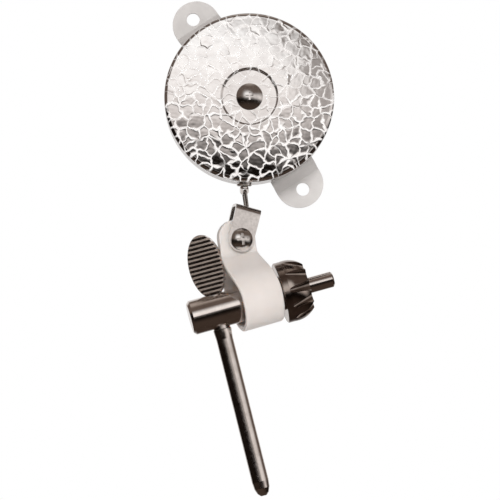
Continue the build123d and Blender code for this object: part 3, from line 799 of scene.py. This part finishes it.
class SkyMath:
    """Builds the arithmetic of the light tent out of the world's nodes."""

    def __init__(self, tree):
        self.tree = tree

    def feed(self, socket, value):
        if isinstance(value, (int, float)):
            socket.default_value = value
        else:
            self.tree.links.new(value, socket)

    def op(self, operation, a, b=0.0):
        node = self.tree.nodes.new("ShaderNodeMath")
        node.operation = operation
        self.feed(node.inputs[0], a)
        self.feed(node.inputs[1], b)
        return node.outputs[0]

    def rise(self, value, low, high):
        """0 below low, 1 above high, smooth between."""
        node = self.tree.nodes.new("ShaderNodeMapRange")
        node.interpolation_type = "SMOOTHSTEP"
        self.feed(node.inputs["Value"], value)
        node.inputs["From Min"].default_value = low
        node.inputs["From Max"].default_value = high
        return node.outputs["Result"]

    def fall(self, value, low, high):
        return self.op("SUBTRACT", 1.0, self.rise(value, low, high))

    def both(self, *values):
        product = values[0]
        for value in values[1:]:
            product = self.op("MULTIPLY", product, value)
        return product

    def blend(self, share, low, high):
        """Mixes two colours, which are tuples or sockets."""
        node = self.tree.nodes.new("ShaderNodeMix")
        node.data_type = "RGBA"
        self.feed(node.inputs["Factor"], share)
        for socket, value in ((node.inputs[6], low), (node.inputs[7], high)):
            if isinstance(value, tuple):
                socket.default_value = (*value, 1)
            else:
                self.tree.links.new(value, socket)
        return node.outputs[2]


def tent_window(sky, height, turn):
    """How much of the window is seen in a direction."""
    right = sky.op("MINIMUM", sky.op("MAXIMUM", turn, 0.0), WINDOW_SLOPE_END)
    low_edge = sky.op("SUBTRACT", WINDOW_LOW, sky.op("MULTIPLY", right, WINDOW_LOW_SLOPE))
    top_edge = sky.op("SUBTRACT", WINDOW_TOP, sky.op("MULTIPLY", right, WINDOW_TOP_SLOPE))
    top_edge = sky.op("MAXIMUM", WINDOW_TOP_LEAST, top_edge)
    bar = sky.both(
        sky.rise(turn, *WINDOW_BAR_LEFT_FADE),
        sky.fall(turn, *WINDOW_BAR_RIGHT_FADE),
        WINDOW_BAR_SHADE,
    )
    return sky.both(
        sky.rise(sky.op("SUBTRACT", height, low_edge), *WINDOW_LOW_FADE),
        sky.fall(sky.op("SUBTRACT", height, top_edge), *WINDOW_TOP_FADE),
        sky.rise(turn, *WINDOW_LEFT_FADE),
        sky.fall(turn, *WINDOW_RIGHT_FADE),
        sky.op("SUBTRACT", 1.0, bar),
    )


def studio_world():
    """A light tent: a soft window in front with a dim bar in it, a lit back, and dark sides and floor."""
    world = bpy.data.worlds.new("tent")
    world.use_nodes = True
    tree = world.node_tree
    nodes, links = tree.nodes, tree.links
    sky = SkyMath(tree)
    split = nodes.new("ShaderNodeSeparateXYZ")
    links.new(nodes.new("ShaderNodeTexCoord").outputs["Generated"], split.inputs[0])
    x, y, z = split.outputs
    height = sky.op("MULTIPLY", sky.op("ARCSINE", z), 180 / math.pi)
    turn = sky.op("MULTIPLY", sky.op("ARCTAN2", x, sky.op("MULTIPLY", y, -1.0)), 180 / math.pi)
    window = tent_window(sky, height, turn)
    side = sky.blend(sky.rise(height, *SIDE_FADE), TENT_DARK, TENT_SIDE)
    side = sky.blend(sky.rise(height, *TOP_FADE), side, TENT_TOP)
    side = sky.blend(sky.fall(height, *FLOOR_FADE), side, TENT_FLOOR)
    behind = sky.both(
        sky.rise(sky.op("ABSOLUTE", turn), *BACK_TURN_FADE),
        sky.rise(height, *BACK_LOW_FADE),
        sky.fall(height, *BACK_TOP_FADE),
    )
    glow = sky.blend(sky.rise(height, *WINDOW_GLOW_FADE), TENT_WINDOW_LOW, TENT_WINDOW)
    colour = sky.blend(window, sky.blend(behind, side, TENT_BACK), glow)
    background = nodes["Background"]
    links.new(colour, background.inputs["Color"])
    backdrop = nodes.new("ShaderNodeBackground")
    backdrop.inputs["Color"].default_value = (1, 1, 1, 1)
    pick = nodes.new("ShaderNodeMixShader")
    links.new(nodes.new("ShaderNodeLightPath").outputs["Is Camera Ray"], pick.inputs["Fac"])
    links.new(background.outputs[0], pick.inputs[1])
    links.new(backdrop.outputs[0], pick.inputs[2])
    links.new(pick.outputs[0], nodes["World Output"].inputs["Surface"])
    bpy.context.scene.world = world


def soft_light(name, place, size, power):
    light = bpy.data.lights.new(name, "AREA")
    light.shape = "RECTANGLE"
    light.size, light.size_y = size
    light.energy = power
    holder = bpy.data.objects.new(name, light)
    holder.location = place
    holder.rotation_mode = "QUATERNION"
    holder.rotation_quaternion = (Vector(LIGHT_TARGET) - Vector(place)).to_track_quat("-Z", "Y")
    holder.visible_camera = False
    holder.visible_glossy = False
    bpy.context.scene.collection.objects.link(holder)


def camera():
    azimuth, elevation = math.radians(CAMERA_AZIMUTH), math.radians(CAMERA_ELEVATION)
    level = math.cos(elevation)
    ahead = Vector((math.sin(azimuth) * level, math.cos(azimuth) * level, math.sin(elevation)))
    data = bpy.data.cameras.new("camera")
    data.sensor_width = 36
    data.lens = data.sensor_width / 2 * CAMERA_REACH / CAMERA_HALF_WIDTH
    data.clip_start, data.clip_end = 0.01, 50
    made = bpy.data.objects.new("camera", data)
    made.location = CAMERA_PLACE
    made.rotation_mode = "QUATERNION"
    made.rotation_quaternion = ahead.to_track_quat("-Z", "Y")
    bpy.context.scene.collection.objects.link(made)
    bpy.context.scene.camera = made


# ---------------------------------------------------------------- assembly
dress_frame()
embossed_cover()
nylon_loop()
braided_tether()

floor()
studio_world()
for light in LIGHTS:
    soft_light(*light)
bpy.context.scene.view_settings.view_transform = "Standard"
camera()
